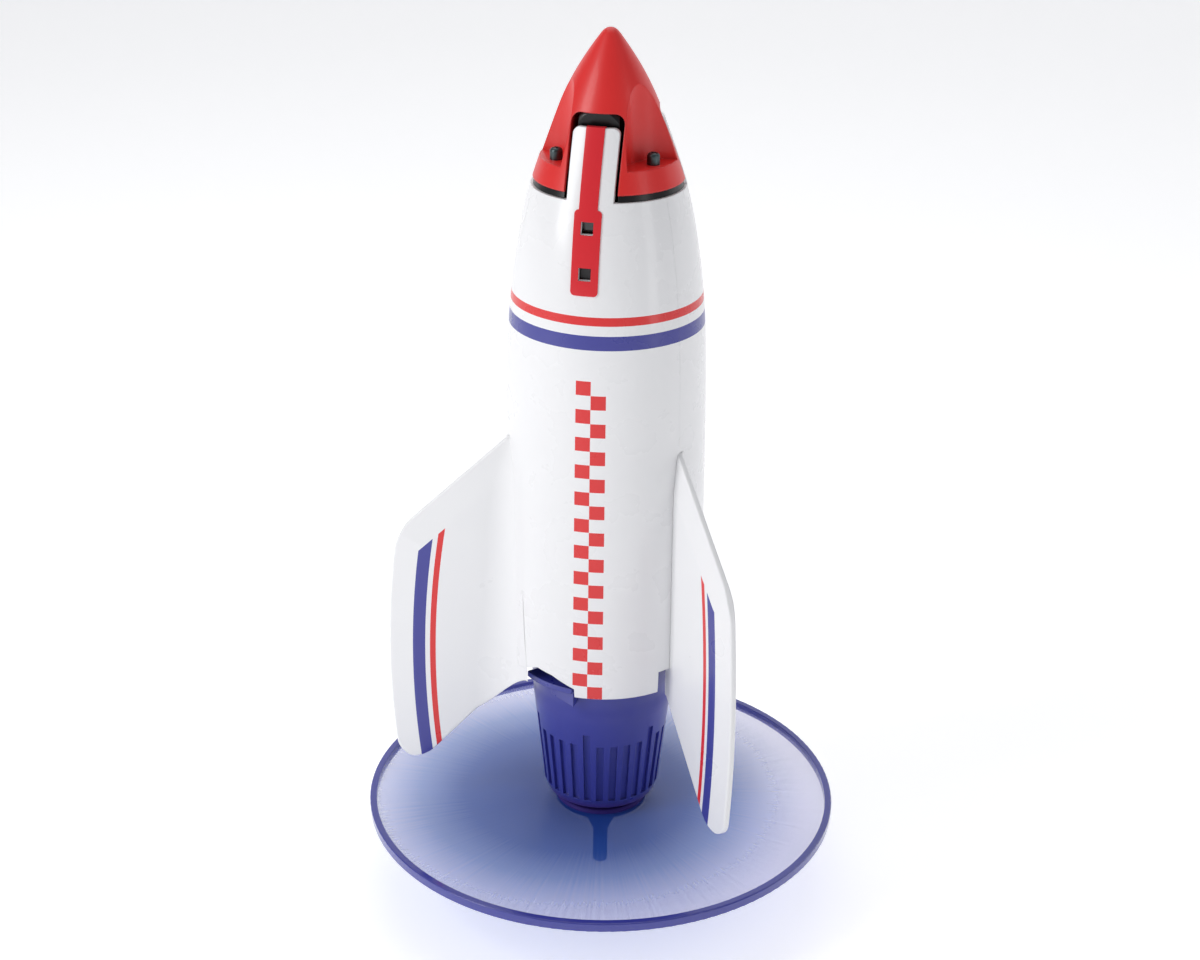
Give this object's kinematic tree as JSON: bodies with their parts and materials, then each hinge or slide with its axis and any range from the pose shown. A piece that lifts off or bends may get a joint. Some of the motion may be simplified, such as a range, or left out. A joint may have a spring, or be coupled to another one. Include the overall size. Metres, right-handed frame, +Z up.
{
  "type": "model rocket",
  "caption": "Motor-driven model rocket with raked fins, pop-off nose with parachute bay, twist-off tail cup and a ringed rotor on a launch pin.",
  "frame": {"origin": "centre of the launch pin's shoulder, where the hub ends and the pin starts", "axes": "+Z up the rocket's axis to the nose; -Y out through the front panel with the windows; +X completes the right-handed frame"},
  "size_m": [0.15, 0.15, 0.275],
  "materials": {
    "shell_white": "satin",
    "fin_white": "satin",
    "trim_red": "printed film",
    "nose_red": "satin",
    "collar_black": "polished",
    "screw_steel": "zinc plated",
    "cup_violet": "satin",
    "hub_violet": "satin",
    "ring_violet": "gloss",
    "blade_blue": "translucent",
    "lens_black": "polished",
    "button_black": "fine grain",
    "frame_grey": "moulded",
    "motor_steel": "drawn can",
    "shaft_steel": "ground",
    "holder_black": "moulded",
    "cell_sleeve": "shrink sleeve",
    "board_green": "solder mask",
    "tube_card": "wound card",
    "canopy_nylon": "woven",
    "spring_steel": "drawn wire"
  },
  "bodies": {
    "airframe": {"body_panel_front": "shell_white", "body_panel_right_rear": "shell_white", "body_panel_left_rear": "shell_white", "fin_left": "fin_white", "fin_right": "fin_white", "fin_rear": "fin_white", "front_trim": "trim_red", "status_lamp": "lens_black", "circuit_board": "board_green", "board_parts": "holder_black", "tact_switch": "holder_black", "lock_ring": "frame_grey", "lower_deck": "frame_grey", "upper_deck": "frame_grey", "battery_holder": "holder_black", "battery_cells": "cell_sleeve", "parachute_tube": "tube_card", "parachute_pack": "canopy_nylon", "ejector_spring": "spring_steel"},
    "nose": {"nose_cone": "nose_red", "nose_collar": "collar_black", "nose_screws": "screw_steel", "tether_eye": "frame_grey"},
    "tail": {"tail_cup": "cup_violet", "motor_can": "motor_steel", "motor_clamp": "frame_grey", "clamp_screws": "screw_steel"},
    "rotor": {"rotor_hub": "hub_violet", "rotor_blades": "blade_blue", "rotor_ring": "ring_violet", "launch_pin": "hub_violet", "motor_shaft": "shaft_steel"},
    "button": {"power_button": "button_black"}
  },
  "joints": [
    {"name": "nose_release", "type": "slide", "parent": "airframe", "child": "nose", "axis": [0, 0, 1], "range_m": [0, 0.045]},
    {"name": "tail_twist", "type": "hinge", "parent": "airframe", "child": "tail", "pos_m": [0, 0, 0.0747], "axis": [0, 0, 1], "range_deg": [-14, 0]},
    {"name": "rotor_spin", "type": "hinge", "parent": "tail", "child": "rotor", "pos_m": [0, 0, 0.0145], "axis": [0, 0, 1], "continuous": true},
    {"name": "power_press", "type": "slide", "parent": "airframe", "child": "button", "axis": [0, 1, 0], "range_m": [0, 0.0008], "stiffness_N_per_m": 300}
  ]
}
